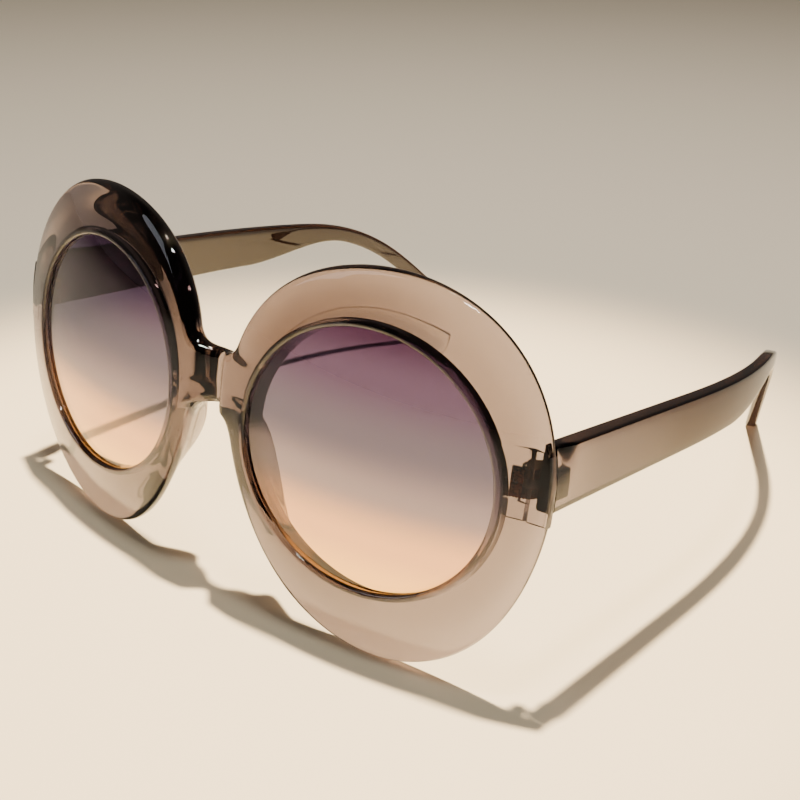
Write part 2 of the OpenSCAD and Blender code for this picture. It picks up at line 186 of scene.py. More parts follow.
def wave(values, angle):  # a smooth closed curve through even places round the opening
    count = len(values)
    total = 0
    for place, value in enumerate(values):
        x = np.asarray(angle, float) - 360 / count * place
        terms = sum(2 * cosd(k * x) for k in range(1, count // 2))
        total = total + value * (1 + terms + cosd(count / 2 * x)) / count
    return total


def quarterRound(radius, distance):  # how far a rounded edge falls away near its line
    left = np.clip(radius - distance, 0, None)
    return np.where(distance < radius, radius - np.sqrt(np.clip(radius**2 - left**2, 0, None)), 0)


def newPiece(name, points, faces, materials):
    mesh = bpy.data.meshes.new(name)
    mesh.from_pydata([tuple(point) for point in points], [], faces)
    mesh.validate()
    for material in materials:
        mesh.materials.append(material)
    piece = bpy.data.objects.new(name, mesh)
    bpy.context.scene.collection.objects.link(piece)
    return piece


def smooth(piece, crease):
    piece.data.polygons.foreach_set("use_smooth", [True] * len(piece.data.polygons))
    piece.data.set_sharp_from_angle(angle=math.radians(crease))


def weldMesh(piece):
    work = bmesh.new()
    work.from_mesh(piece.data)
    bmesh.ops.remove_doubles(work, verts=work.verts, dist=weld)
    bmesh.ops.recalc_face_normals(work, faces=work.faces)
    work.to_mesh(piece.data)
    work.free()


def bake(piece):  # turns the piece with its modifiers into a plain mesh
    made = piece.evaluated_get(bpy.context.evaluated_depsgraph_get())
    result = bpy.data.meshes.new_from_object(made)
    piece.modifiers.clear()
    old = piece.data
    piece.data = result
    result.name = piece.name
    bpy.data.meshes.remove(old)


def cutWith(piece, tool, operation):
    modifier = piece.modifiers.new(operation, "BOOLEAN")
    modifier.operation = operation
    modifier.object = tool
    modifier.solver = "EXACT"
    bake(piece)
    bpy.data.objects.remove(tool)


# Materials


def linear(hexColour):
    values = [int(hexColour[i : i + 2], 16) / 255 for i in (1, 3, 5)]
    return [v / 12.92 if v <= 0.04045 else ((v + 0.055) / 1.055) ** 2.4 for v in values] + [1]


def addNode(tree, kind, settings=None, inputs=None):
    node = tree.nodes.new(kind)
    for name, value in (settings or {}).items():
        setattr(node, name, value)
    for name, value in (inputs or {}).items():
        if isinstance(value, bpy.types.NodeSocket):
            tree.links.new(value, node.inputs[name])
        else:
            node.inputs[name].default_value = value
    return node


def newMaterial(name):
    material = bpy.data.materials.new(name)
    material.use_nodes = True
    tree = material.node_tree
    tree.nodes.clear()
    return material, tree, tree.nodes.new("ShaderNodeOutputMaterial")


def lampsPass(tree, output, shader, tint):  # shadows stay light, as under real clear plastic
    path = addNode(tree, "ShaderNodeLightPath")
    clear = addNode(tree, "ShaderNodeBsdfTransparent", inputs={"Color": tint})
    both = addNode(tree, "ShaderNodeMixShader", inputs={0: path.outputs["Is Shadow Ray"]})
    tree.links.new(shader, both.inputs[1])
    tree.links.new(clear.outputs[0], both.inputs[2])
    tree.links.new(both.outputs[0], output.inputs["Surface"])


def colourRamp(tree, value, stops, interpolation="LINEAR"):
    ramp = addNode(tree, "ShaderNodeValToRGB", inputs={0: value})
    ramp.color_ramp.interpolation = interpolation
    while len(ramp.color_ramp.elements) < len(stops):
        ramp.color_ramp.elements.new(0.5)
    for element, (share, colour) in zip(ramp.color_ramp.elements, stops):
        element.position = share
        element.color = linear(colour)
    return ramp


def mouldedPolycarbonate():
    # Injection-moulded smoky polycarbonate, tumbled to a high gloss: clear through its thin
    # places, nearly black where the eye looks along it, with the faintest flow waviness. The
    # temples are dipped, and their dye deepens to brown towards the ends.
    looks = {
        "tint": "#aa9891",
        "density": 300,
        "ior": 1.56,
        "roughness": 0.02,
        "flowMm": 14,
        "flowStrength": 0.06,
        "flowDepth": 0.0004,
        "shadow": "#7f7973",
        "dyeFrom": -0.056,
        "dyeTo": 0.044,
        "dye": (
            (0.0, "#aca5ab"),
            (0.13, "#726b74"),
            (0.41, "#402f28"),
            (0.7, "#35231a"),
            (1.0, "#463838"),
        ),
    }
    material, tree, output = newMaterial("mouldedPolycarbonate")
    place = addNode(tree, "ShaderNodeTexCoord")
    flow = addNode(
        tree,
        "ShaderNodeTexNoise",
        inputs={"Vector": place.outputs["Object"], "Scale": 1000 / looks["flowMm"], "Detail": 1},
    )
    bump = addNode(
        tree,
        "ShaderNodeBump",
        inputs={
            "Height": flow.outputs["Fac"],
            "Strength": looks["flowStrength"],
            "Distance": looks["flowDepth"],
        },
    )
    split = addNode(tree, "ShaderNodeSeparateXYZ", inputs={0: place.outputs["Object"]})
    along = addNode(
        tree,
        "ShaderNodeMapRange",
        inputs={"Value": split.outputs["Y"], "From Min": looks["dyeFrom"], "From Max": looks["dyeTo"]},
    )
    dye = colourRamp(tree, along.outputs[0], looks["dye"])
    body = addNode(
        tree,
        "ShaderNodeBsdfPrincipled",
        inputs={
            "Base Color": dye.outputs[0],
            "Roughness": looks["roughness"],
            "IOR": looks["ior"],
            "Transmission Weight": 1,
            "Normal": bump.outputs[0],
        },
    )
    inside = addNode(
        tree,
        "ShaderNodeVolumeAbsorption",
        inputs={"Color": linear(looks["tint"]), "Density": looks["density"]},
    )
    tree.links.new(inside.outputs[0], output.inputs["Volume"])
    lampsPass(tree, output, body.outputs[0], linear(looks["shadow"]))
    return material


def tintedLens():
    # Dip-dyed polycarbonate lens: plum at the top, mauve grey in the middle and clear peach
    # below, where the dye runs out, and a hard-coated face that mirrors softly.
    looks = {
        "stops": (
            (0.0, "#ffcb7c"),
            (0.2, "#dfad84"),
            (0.4, "#7c7384"),
            (0.6, "#57546c"),
            (0.82, "#4f4363"),
            (1.0, "#37223f"),
        ),
        "ior": 1.5,
        "roughness": 0.01,
    }
    material, tree, output = newMaterial("tintedLens")
    place = addNode(tree, "ShaderNodeTexCoord")
    split = addNode(tree, "ShaderNodeSeparateXYZ", inputs={0: place.outputs["Object"]})
    middle = placed @ Vector((0, 0, 0))
    reach = front["openingHeight"] / 2
    height = addNode(
        tree,
        "ShaderNodeMapRange",
        inputs={"Value": split.outputs["Z"], "From Min": middle.z - reach, "From Max": middle.z + reach},
    )
    ramp = colourRamp(tree, height.outputs[0], looks["stops"], "EASE")
    glass = addNode(
        tree,
        "ShaderNodeBsdfPrincipled",
        inputs={
            "Base Color": ramp.outputs[0],
            "Roughness": looks["roughness"],
            "IOR": looks["ior"],
            "Transmission Weight": 1,
        },
    )
    lampsPass(tree, output, glass.outputs[0], ramp.outputs[0])
    return material


def stampedMetal(name, looks):
    material, tree, output = newMaterial(name)
    place = addNode(tree, "ShaderNodeTexCoord")
    grain = addNode(
        tree,
        "ShaderNodeTexNoise",
        inputs={"Vector": place.outputs["Object"], "Scale": 1000 / looks["grainMm"], "Detail": 4},
    )
    low, high = looks["grainRange"]
    colour = colourRamp(tree, grain.outputs["Fac"], ((low, looks["dark"]), (high, looks["bright"])))
    bump = addNode(
        tree,
        "ShaderNodeBump",
        inputs={
            "Height": grain.outputs["Fac"],
            "Strength": looks["grainStrength"],
            "Distance": looks["grainDepth"],
        },
    )
    metal = addNode(
        tree,
        "ShaderNodeBsdfPrincipled",
        inputs={
            "Base Color": colour.outputs[0],
            "Metallic": 1,
            "Roughness": looks["roughness"],
            "Normal": bump.outputs[0],
        },
    )
    tree.links.new(metal.outputs[0], output.inputs["Surface"])
    return material


def turnedBrass():
    # Turned brass screw, gold-washed: bright, with a little wear on its rim.
    looks = {
        "bright": "#e2bd72",
        "worn": "#b98f4c",
        "roughness": 0.16,
        "wearMm": 0.5,
        "wearRange": (0.4, 0.6),
    }
    material, tree, output = newMaterial("turnedBrass")
    place = addNode(tree, "ShaderNodeTexCoord")
    wear = addNode(
        tree,
        "ShaderNodeTexNoise",
        inputs={"Vector": place.outputs["Object"], "Scale": 1000 / looks["wearMm"], "Detail": 3},
    )
    low, high = looks["wearRange"]
    colour = colourRamp(tree, wear.outputs["Fac"], ((low, looks["worn"]), (high, looks["bright"])))
    metal = addNode(
        tree,
        "ShaderNodeBsdfPrincipled",
        inputs={"Base Color": colour.outputs[0], "Metallic": 1, "Roughness": looks["roughness"]},
    )
    tree.links.new(metal.outputs[0], output.inputs["Surface"])
    return material


plastic = mouldedPolycarbonate()
lensTint = tintedLens()
pressed = {"grainRange": (0.35, 0.65), "grainStrength": 0.25, "grainDepth": 0.0001}
# Stamped front leaf, antique-bronze plated: satin, with a fine press grain and darker hollows
bronze = stampedMetal(
    "stampedBronze",
    {"bright": "#80442f", "dark": "#2c120d", "roughness": 0.3, "grainMm": 0.35, **pressed},
)
# Stamped temple leaf, nickel silver left bright, a little dulled by its bath of plastic
nickel = stampedMetal(
    "nickelSilver",
    {"bright": "#8f7d7c", "dark": "#4a3d3e", "roughness": 0.2, "grainMm": 0.3, **pressed},
)
brass = turnedBrass()
print("materials made")

# The front: one closed skin of rings through the rims, with both halves sharing the middle


def onFace(radius, angle):  # a point of the front's face, as x and height
    sag = front["faceRadius"] - np.sqrt(front["faceRadius"] ** 2 - radius**2)
    x = front["lensCentre"] + radius * cosd(angle) * cosd(front["wrap"]) - sag * sind(front["wrap"])
    return np.stack([x, radius * sind(angle)], -1)


def openingRadius(angle):
    across = 2 * cosd(angle) / front["openingWidth"]
    return 1 / np.hypot(across, 2 * sind(angle) / front["openingHeight"])


def outlineAt(angle):  # the outer edge of the rim
    return onFace(openingRadius(angle) + wave(front["rimWidths"], angle), angle)


def faceDepth(point):  # the depth of the front's face, with its fold at the middle softened
    x, z = point[..., 0], point[..., 1]
    blend = front["bridgeBlend"]
    x = np.where(x < blend, (x * x / blend + blend) / 2, x)
    centreX = front["lensCentre"] - front["faceRadius"] * sind(front["wrap"])
    centreY = front["faceRadius"] * cosd(front["wrap"])
    return centreY - np.sqrt(front["faceRadius"] ** 2 - (x - centreX) ** 2 - z * z)


lensFace = front["faceRadius"] - lens["behindFace"]
lensBack = lensFace - lens["thickness"]


def lensDepth(point, radius):  # the same for a side of the lens, of this radius
    centreX = front["lensCentre"] - front["faceRadius"] * sind(front["wrap"])
    centreY = front["faceRadius"] * cosd(front["wrap"])
    return centreY - np.sqrt(radius**2 - (point[..., 0] - centreX) ** 2 - point[..., 1] ** 2)


def blendAt(angle, height, share):  # from the rim's outline to the middle of the bridge
    start = outlineAt(angle)
    along = outlineAt(angle + 1) - outlineAt(angle - 1)
    bend = start + along * (height - start[1]) / along[1]
    end = np.array([0, height])
    share = np.asarray(share)[:, None]
    return (1 - share) ** 2 * start + 2 * share * (1 - share) * bend + share**2 * end


def frontRows():
    centre, blends = front["lensCentre"], front["blendRows"]
    topAngle = math.degrees(math.atan2(front["bridgeTop"], -centre))
    lowAngle = math.degrees(math.atan2(front["bridgeLow"], -centre)) % 360
    rim = np.linspace(front["blendLowAngle"] - 360, front["blendTopAngle"], front["rimRows"] + 1)
    rise = np.arange(1, blends + 1) / blends
    down = np.arange(1, front["bridgeRows"]) / front["bridgeRows"]
    back = np.arange(blends) / blends
    heights = mix(front["bridgeTop"], front["bridgeLow"], down)
    angles = [
        rim,
        mix(front["blendTopAngle"], topAngle, rise),
        mix(topAngle, lowAngle, down),
        mix(lowAngle, front["blendLowAngle"], back),
    ]
    ends = [
        outlineAt(rim),
        blendAt(front["blendTopAngle"], front["bridgeTop"], rise),
        np.stack([heights * 0, heights], -1),
        blendAt(front["blendLowAngle"], front["bridgeLow"], 1 - back),
    ]
    outline = np.concatenate([ends[3], ends[0], ends[1]])
    firstMiddle = len(rim) + blends - 1
    return np.concatenate(angles), np.concatenate(ends), outline, firstMiddle


def offLine(points, line):  # the distance of each point from the outline
    flat = points.reshape(-1, 1, 2)
    start, step = line[:-1], np.diff(line, axis=0)
    share = np.clip(((flat - start) * step).sum(-1) / (step * step).sum(-1), 0, 1)
    away = flat - start - step * share[..., None]
    return np.sqrt((away**2).sum(-1)).min(1).reshape(points.shape[:-1])


def padHeight(height, share):  # how far a nose pad stands out of the back of the rim
    crest = front["padCrestShare"]
    run = np.clip((height - front["padTop"] + front["padLength"]) / front["padLength"], 0, 1)
    rise, fall = sind(90 * share / crest), sind(90 * (1 - share) / (1 - crest))
    across = np.where(share < crest, rise, fall) ** 2
    return front["padRise"] * np.clip(sind(180 * run), 0, 1) ** front["padPower"] * across


def sunkAt(x):  # how far the face is sunk near the middle of the bridge
    return front["bridgeSet"] * (1 - ease(x / front["bridgeBlend"]))


def frontSkin():
    angles, ends, outline, firstMiddle = frontRows()
    starts = onFace(openingRadius(angles), angles)
    length = np.linalg.norm(ends - starts, axis=1)[:, None]
    along = (ends - starts) / length
    nearMiddle = ease(ends[:, 0] / front["bridgeBlend"])
    edge = mix(front["bridgeThick"], wave(front["edges"], angles), nearMiddle)[:, None]
    rounding = front["edgeRoundShare"] * edge
    lip = front["lip"]
    body = length - lip - rounding
    lipTurn = np.linspace(0, 90, front["lipSteps"] + 1)[None]
    edgeTurn = np.linspace(90, 0, front["edgeSteps"] + 1)[None]
    inner = (np.arange(1, front["faceSteps"]) / front["faceSteps"])[None]
    onLip = lip * (1 - cosd(lipTurn)) + 0 * length
    onEdge = length - rounding * (1 - cosd(edgeTurn))
    places = np.concatenate([onLip, lip + inner * body, onEdge], 1)
    flat = starts[:, None] + along[:, None] * places[..., None]
    fall = quarterRound(rounding, offLine(flat, outline))
    depth = faceDepth(flat)
    face = depth + sunkAt(flat[..., 0]) + quarterRound(lip, places) + fall
    innerEdge = lensDepth(starts, lensBack) + lens["gap"] + front["backWall"]
    backEdge = edge + sunkAt(ends[:, 0])[:, None]
    innerEdge = np.maximum((innerEdge - faceDepth(starts))[:, None], backEdge)
    innerEdge = np.maximum(innerEdge, wave(front["innerEdges"], angles)[:, None])
    share = places / length
    thick = mix(innerEdge, backEdge, ease((share - front["flatShare"]) / (1 - front["flatShare"])))
    pad = np.where(cosd(angles)[:, None] < 0, padHeight(flat[..., 1], share), 0)
    back = depth + thick - fall + pad - quarterRound(front["backLip"], places)
    groove = starts + along * front["grooveDepth"]
    grooveRing = [
        (starts, lensDepth(starts, lensBack) + lens["gap"]),
        (groove, lensDepth(groove, lensBack) + lens["gap"]),
        (groove, lensDepth(groove, lensFace) - lens["gap"]),
        (starts, lensDepth(starts, lensFace) - lens["gap"]),
    ]

    def solid(flatPoints, depths):
        return np.stack([flatPoints[..., 0], depths, flatPoints[..., 1]], -1)

    rings = np.concatenate(
        [solid(flat, face), solid(flat, back)[:, ::-1]] + [solid(p, d)[:, None] for p, d in grooveRing], 1
    )
    rowCount, ringCount = rings.shape[:2]
    faceCount = places.shape[1]
    points, faces = [], []
    for side in sides.values():
        offset = len(points)
        points.extend(rings.reshape(-1, 3) * [side, 1, 1])
        for row in range(rowCount):
            following = (row + 1) % rowCount
            middle = firstMiddle <= row < firstMiddle + front["bridgeRows"]
            for k in range(ringCount):
                if middle and k == faceCount - 1:
                    continue
                nextK = (k + 1) % ringCount
                here, there = row * ringCount, following * ringCount
                quad = [here + k, there + k, there + nextK, here + nextK]
                faces.append([offset + corner for corner in (quad if side > 0 else quad[::-1])])
    return np.array(points), faces, outline


def box(corner, size, turn, bevel):  # a bevelled block beside the left hinge pin, as worn
    work = bmesh.new()
    bmesh.ops.create_cube(work, size=1)
    for vert in work.verts:
        vert.co = Vector(corner) + Vector((s * (c + 0.5) for s, c in zip(size, vert.co)))
    steps = hinge["blockBevelSteps"]
    bmesh.ops.bevel(work, geom=work.edges[:], offset=bevel, segments=steps, profile=0.5, affect="EDGES")
    work.transform(Matrix.Translation(pinWorn) @ Matrix.Rotation(math.radians(turn), 4, "Z"))
    mesh = bpy.data.meshes.new("tool")
    work.to_mesh(mesh)
    work.free()
    tool = bpy.data.objects.new("tool", mesh)
    bpy.context.scene.collection.objects.link(tool)
    return tool


def mirrored(tool):  # the tool and its image on the other side
    work = bmesh.new()
    work.from_mesh(tool.data)
    copy = bmesh.ops.duplicate(work, geom=work.verts[:] + work.edges[:] + work.faces[:])["geom"]
    for item in copy:
        if isinstance(item, bmesh.types.BMVert):
            item.co.x = -item.co.x
    bmesh.ops.reverse_faces(work, faces=[item for item in copy if isinstance(item, bmesh.types.BMFace)])
    work.to_mesh(tool.data)
    work.free()
    return tool


def column(name, outline, near, far):  # the outline drawn out along Y
    points = [(x, y, z) for y in (near, far) for x, z in outline]
    count = len(outline)
    faces = [[k, (k + 1) % count, (k + 1) % count + count, k + count] for k in range(count)]
    faces += [list(range(count))[::-1], [count + k for k in range(count)]]
    piece = newPiece(name, points, faces, [])
    weldMesh(piece)
    return piece


def blockYaw():  # how far the front's face is turned at the hinge, in degrees
    return front["wrap"] + math.degrees(math.asin((pinWorn.x - front["lensCentre"]) / front["faceRadius"]))


def hingeBlock(outline):
    low = hinge["blockTop"] - hinge["middle"] - hinge["blockHeight"]
    depth = hinge["leafThickness"] + hinge["blockWall"]
    reach = front["rimWidths"][0]
    seat = box(
        (-reach, -hinge["frontLeafOff"] - depth, low),
        (reach + hinge["knuckle"], depth - hinge["proud"], hinge["blockHeight"]),
        blockYaw(),
        hinge["blockBevel"],
    )
    edge = front["edges"][0]
    stop = box(
        (hinge["knuckle"], hinge["blockBack"] - hinge["back"] - edge, low),
        (float(outlineAt(0.0)[0]) - pinWorn.x - hinge["knuckle"], edge, hinge["blockHeight"]),
        0,
        hinge["stopBevel"],
    )
    cutWith(seat, stop, "UNION")
    cutWith(seat, column("column", outline, hinge["blockFront"], hinge["blockBack"]), "INTERSECT")
    angles = np.arange(0, 360, hinge["openingStep"])
    opening = onFace(openingRadius(angles) + hinge["blockStep"], angles)
    cutWith(seat, column("opening", opening, 0, 2 * hinge["blockBack"]), "DIFFERENCE")
    return mirrored(seat)


def knuckleRoom():
    radius = hinge["knuckle"] + hinge["gap"]
    reach = hinge["leafHeight"] / 2 + hinge["gap"] + hinge["headHeight"]
    work = bmesh.new()
    bmesh.ops.create_cone(
        work,
        cap_ends=True,
        segments=hinge["roomSegments"],
        radius1=radius,
        radius2=radius,
        depth=2 * reach,
        matrix=Matrix.Translation(pinWorn),
    )
    mesh = bpy.data.meshes.new("room")
    work.to_mesh(mesh)
    work.free()
    tool = bpy.data.objects.new("room", mesh)
    bpy.context.scene.collection.objects.link(tool)
    return mirrored(tool)


def buildFront():
    points, faces, outline = frontSkin()
    piece = newPiece("mouldedFront", points, faces, [plastic])
    work = bmesh.new()
    work.from_mesh(piece.data)
    middle = [vert for vert in work.verts if abs(vert.co.x) < weld]
    bmesh.ops.remove_doubles(work, verts=middle, dist=weld)
    bmesh.ops.recalc_face_normals(work, faces=work.faces)
    work.to_mesh(piece.data)
    work.free()
    cutWith(piece, hingeBlock(outline), "UNION")
    cutWith(piece, knuckleRoom(), "DIFFERENCE")
    piece.data.transform(placed)
    smooth(piece, front["crease"])
    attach(piece, "front")
    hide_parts("front_frame")


# The lenses: thin curved shells whose rims sit in the grooves


def buildLens(side):
    spokes, rings = lens["spokes"], lens["rings"]
    angles = 360 * np.arange(spokes) / spokes
    points, faces = [], []
    for radius in (lensFace, lensBack):
        for ring in range(rings, -1, -1):
            flat = onFace((openingRadius(angles) + lens["bite"]) * ring / rings, angles)
            flat = flat if ring else flat[:1]
            points.extend(np.stack([flat[:, 0], lensDepth(flat, radius), flat[:, 1]], -1))
    shell = rings * spokes + 1
    for back in (0, 1):
        base = back * shell
        for ring in range(rings):
            for k in range(spokes):
                this, following = base + ring * spokes + k, base + ring * spokes + (k + 1) % spokes
                if ring < rings - 1:
                    quad = [this, following, following + spokes, this + spokes]
                else:
                    quad = [this, following, base + shell - 1]
                faces.append(quad[::-1] if back else quad)
    for k in range(spokes):
        faces.append([k, (k + 1) % spokes, shell + (k + 1) % spokes, shell + k][::-1])
    piece = newPiece(f"{side}Lens", np.array(points) * [sides[side], 1, 1], faces, [lensTint])
    weldMesh(piece)
    piece.data.transform(placed)
    smooth(piece, lens["crease"])
    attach(piece, "front")
    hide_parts(f"lens_{side}")


# The temples: a flat bar that narrows, curves in and drops to its end


def yawAt(s):
    return temple["curveAngle"] * ease((s - temple["curveStart"]) / temple["curveLength"]) - temple["splay"]


def dropAt(s):
    return temple["dropAngle"] * ease((s - temple["dropStart"]) / temple["dropLength"])


def alongAt(s):
    yaw, drop = yawAt(s), dropAt(s)
    return np.stack([-sind(yaw) * cosd(drop), cosd(yaw) * cosd(drop), -sind(drop)], -1)


def outwardAt(s):
    return np.stack([cosd(yawAt(s)), sind(yawAt(s)), 0 * s], -1)


def tallAt(s):
    before = mix(temple["height"], temple["middleHeight"], np.minimum(s / temple["neckStart"], 1))
    return mix(before, temple["tipHeight"], ease((s - temple["neckStart"]) / temple["neckLength"]))


def thickAt(s):
    return mix(temple["thickness"], temple["tipThickness"], np.minimum(s / temple["dropStart"], 1))


def templeStations():
    count, length = temple["stations"], temple["length"]
    step = length / count
    middles = (np.arange(count) + 0.5) * step
    start = np.array([outlineAt(0.0)[0], hinge["blockBack"] + hinge["gap"], temple["top"]])
    path = start + np.concatenate([[[0, 0, 0]], np.cumsum(alongAt(middles) * step, 0)])
    reach = temple["tipHeight"] / 2
    main = path[: int((length - reach) / step)]
    run = np.arange(len(main)) * step
    turn = sind(90 * np.arange(temple["endSteps"]) / temple["endSteps"])
    end = path[-1] + alongAt(np.array(length)) * (turn[:, None] - 1) * reach
    places = np.concatenate([main, end])
    distances = np.concatenate([run, np.full(len(end), length)])
    shares = np.concatenate([np.ones(len(main)), np.sqrt(1 - turn**2)])
    return places, distances, shares


def sectionShape():  # for each point: which corner, how far round it, and how far along the next side
    turns, steps = temple["cornerSteps"], temple["sideSteps"]
    shape = []
    for corner in range(4):
        shape += [(corner, 90 * (corner + i / turns), 0) for i in range(turns + 1)]
        if corner % 2:  # the tall sides have points along them too
            shape += [(corner, 90 * (corner + 1), i / steps) for i in range(1, steps)]
    return shape


def buildTemple(side):
    places, distances, shares = templeStations()
    tall, thick = tallAt(distances), thickAt(distances)
    outward, along = outwardAt(distances), alongAt(distances)
    down = np.cross(along, outward)
    middle = places - outward * thick[:, None] / 2 + down * tall[:, None] / 2
    radius = temple["rounding"]
    signs = ((1, 1), (-1, 1), (-1, -1), (1, -1))
    columns = []
    for corner, angle, share in sectionShape():
        here = [sign * (size / 2 - radius) for sign, size in zip(signs[corner], (thick, tall))]
        there = [sign * (size / 2 - radius) for sign, size in zip(signs[(corner + 1) % 4], (thick, tall))]
        u = mix(here[0], there[0], share) + radius * cosd(angle)
        v = mix(here[1], there[1], share) + radius * sind(angle)
        columns.append(middle + (outward * u[:, None] - down * v[:, None]) * shares[:, None])
    rings = np.stack(columns, 1)
    reach = temple["outlineReach"]
    line = outlineAt(np.linspace(-reach, reach, temple["outlineSteps"]))
    inset = outlineAt(0.0)[0] - np.interp(rings[..., 2], line[:, 1], line[:, 0])
    outerSide = ((rings - middle[:, None]) * outward[:, None]).sum(-1) > 0
    nearHinge = 1 - ease(distances / temple["flushLength"])
    rings[..., 0] -= np.where(outerSide, inset * nearHinge[:, None], 0)
    count, around = rings.shape[:2]
    lastTurn = sind(90 * (1 - 1 / temple["endSteps"]))
    tip = middle[-1] + along[-1] * (temple["tipHeight"] / 2) * (1 - lastTurn)
    points = np.concatenate([rings.reshape(-1, 3), tip[None]])
    faces = []
    for j in range(count - 1):
        for k in range(around):
            a, b = j * around + k, j * around + (k + 1) % around
            faces.append([a, b, b + around, a + around])
    faces.append(list(range(around))[::-1])
    last = (count - 1) * around
    faces += [[last + k, last + (k + 1) % around, count * around] for k in range(around)]
    piece = newPiece(f"{side}Temple", points * [sides[side], 1, 1], faces, [plastic])
    weldMesh(piece)
    piece.data.transform(placed)
    smooth(piece, temple["crease"])
    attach(piece, f"temple_{side}")
    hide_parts(f"temple_{side}")


# The hinges


def finishedMetal(node, name, material, bevel, body):
    mesh = frame["nodes"][node].data.copy()
    piece = bpy.data.objects.new(name, mesh)
    bpy.context.scene.collection.objects.link(piece)
    work = bmesh.new()
    work.from_mesh(mesh)
    bmesh.ops.remove_doubles(work, verts=work.verts, dist=hinge["metalWeld"])
    flat = math.radians(hinge["metalFlat"])
    bmesh.ops.dissolve_limit(work, angle_limit=flat, verts=work.verts, edges=work.edges)
    work.to_mesh(mesh)
    work.free()
    mesh.materials.clear()
    mesh.materials.append(material)
    rounding = piece.modifiers.new("rounding", "BEVEL")
    rounding.width = bevel
    rounding.segments = hinge["bevelSteps"]
    rounding.limit_method = "ANGLE"
    rounding.angle_limit = math.radians(hinge["bevelAbove"])
    bake(piece)
    smooth(piece, hinge["metalCrease"])
    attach(piece, body)
    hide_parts(node)


def toothTree(material):  # a row of square teeth stood on their corners, for a stamped lower edge
    tree = bpy.data.node_groups.new("teeth", "GeometryNodeTree")
    face = tree.interface
    face.new_socket("Geometry", in_out="INPUT", socket_type="NodeSocketGeometry")
    sizes = {}
    for name, kind in (("Teeth", "Int"), ("Pitch", "Float"), ("Thickness", "Float")):
        sizes[name] = face.new_socket(name, in_out="INPUT", socket_type=f"NodeSocket{kind}").identifier
    face.new_socket("Geometry", in_out="OUTPUT", socket_type="NodeSocketGeometry")
    given = tree.nodes.new("NodeGroupInput")
    made = tree.nodes.new("NodeGroupOutput")
    apart = addNode(tree, "ShaderNodeCombineXYZ", inputs={"X": given.outputs["Pitch"]})
    row = addNode(
        tree, "GeometryNodeMeshLine", inputs={"Count": given.outputs["Teeth"], "Offset": apart.outputs[0]}
    )
    side = addNode(
        tree,
        "ShaderNodeMath",
        {"operation": "MULTIPLY"},
        {0: given.outputs["Pitch"], 1: math.sqrt(0.5)},
    )
    shape = addNode(
        tree,
        "ShaderNodeCombineXYZ",
        inputs={"X": side.outputs[0], "Y": given.outputs["Thickness"], "Z": side.outputs[0]},
    )
    tooth = addNode(tree, "GeometryNodeMeshCube", inputs={"Size": shape.outputs[0]})
    teeth = addNode(
        tree,
        "GeometryNodeInstanceOnPoints",
        inputs={
            "Points": row.outputs["Mesh"],
            "Instance": tooth.outputs["Mesh"],
            "Rotation": (0, math.radians(45), 0),
        },
    )
    real = addNode(tree, "GeometryNodeRealizeInstances", inputs={"Geometry": teeth.outputs[0]})
    dressed = addNode(
        tree, "GeometryNodeSetMaterial", inputs={"Geometry": real.outputs[0], "Material": material}
    )
    tree.links.new(dressed.outputs[0], made.inputs[0])
    return tree, sizes


def buildTeeth(side):
    tree, sizes = toothTree(bronze)
    piece = newPiece(f"{side}LeafTeeth", [(0, 0, 0)], [], [])
    modifier = piece.modifiers.new("teeth", "NODES")
    modifier.node_group = tree
    modifier[sizes["Teeth"]] = hinge["teeth"]
    modifier[sizes["Pitch"]] = hinge["toothPitch"]
    modifier[sizes["Thickness"]] = hinge["leafThickness"] * hinge["toothShare"]
    bake(piece)
    start = Vector((
        hinge["toothPitch"] / 2 - hinge["frontLeaf"],
        -hinge["frontLeafOff"] - hinge["leafThickness"] / 2,
        -hinge["leafHeight"] / 2,
    ))
    turned = Matrix.Translation(pinWorn) @ Matrix.Rotation(math.radians(blockYaw()), 4, "Z")
    mirror = Matrix.Scale(sides[side], 4, (1, 0, 0))
    piece.data.transform(placed @ mirror @ turned @ Matrix.Translation(start))
    weldMesh(piece)
    piece.data.set_sharp_from_angle(angle=math.radians(hinge["toothCrease"]))
    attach(piece, "front")
    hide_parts(f"hinge_front_leaf_{side}")


def buildHinge(side):
    buildTeeth(side)
    frontLeaf, templeLeaf = f"hinge_front_leaf_{side}", f"hinge_temple_leaf_{side}"
    bevel = hinge["leafBevel"]
    finishedMetal(frontLeaf, f"{side}FrontLeaf", bronze, bevel, "front")
    finishedMetal(templeLeaf, f"{side}TempleLeaf", nickel, bevel, f"temple_{side}")
    finishedMetal(f"hinge_screw_{side}", f"{side}Screw", brass, hinge["screwBevel"], "front")


buildFront()
print("front made")
for side in sides:
    buildLens(side)
    buildTemple(side)
    buildHinge(side)
print("lenses, temples and hinges made")

# The floor, the lights and the camera

studio = {
    "target": (0.0479, -0.0693, 0.0550),
    "azimuth": 40.862,  # degrees from straight ahead towards the wearer's left
    "elevation": 24.755,
    "roll": 0.955,
    "distance": 0.2202,
    "focalMm": 60.79,
    "sensorMm": 36,
    "clipStart": 0.01,
    "floorSize": 6.0,
    "floorColour": "#f5e2bc",
    "floorRoughness": 0.6,
    "wallColour": "#6f655e",  # the lit wall behind the glasses; the rest of the room is dim
    "roomColour": "#2f2b28",
    "wallTop": (0.55, 0.9),  # where the wall starts and ends to fade, as the sine of its elevation
    "wallSides": (-0.1, 0.5),  # the same to its sides, as the cosine of the turn away from its middle
    "keyPlace": (-0.019, 0.052, 0.798),
    "keyAim": (0.0, -0.04, 0.0),
    "keyRadius": 0.018,
}
spots = {  # degrees across, share of soft edge, watts and colour, all at keyPlace
    "key": (24.5, 0.65, 88, "#ffe8c4"),
    "keySpill": (150, 1, 20, "#f0f0ff"),
}
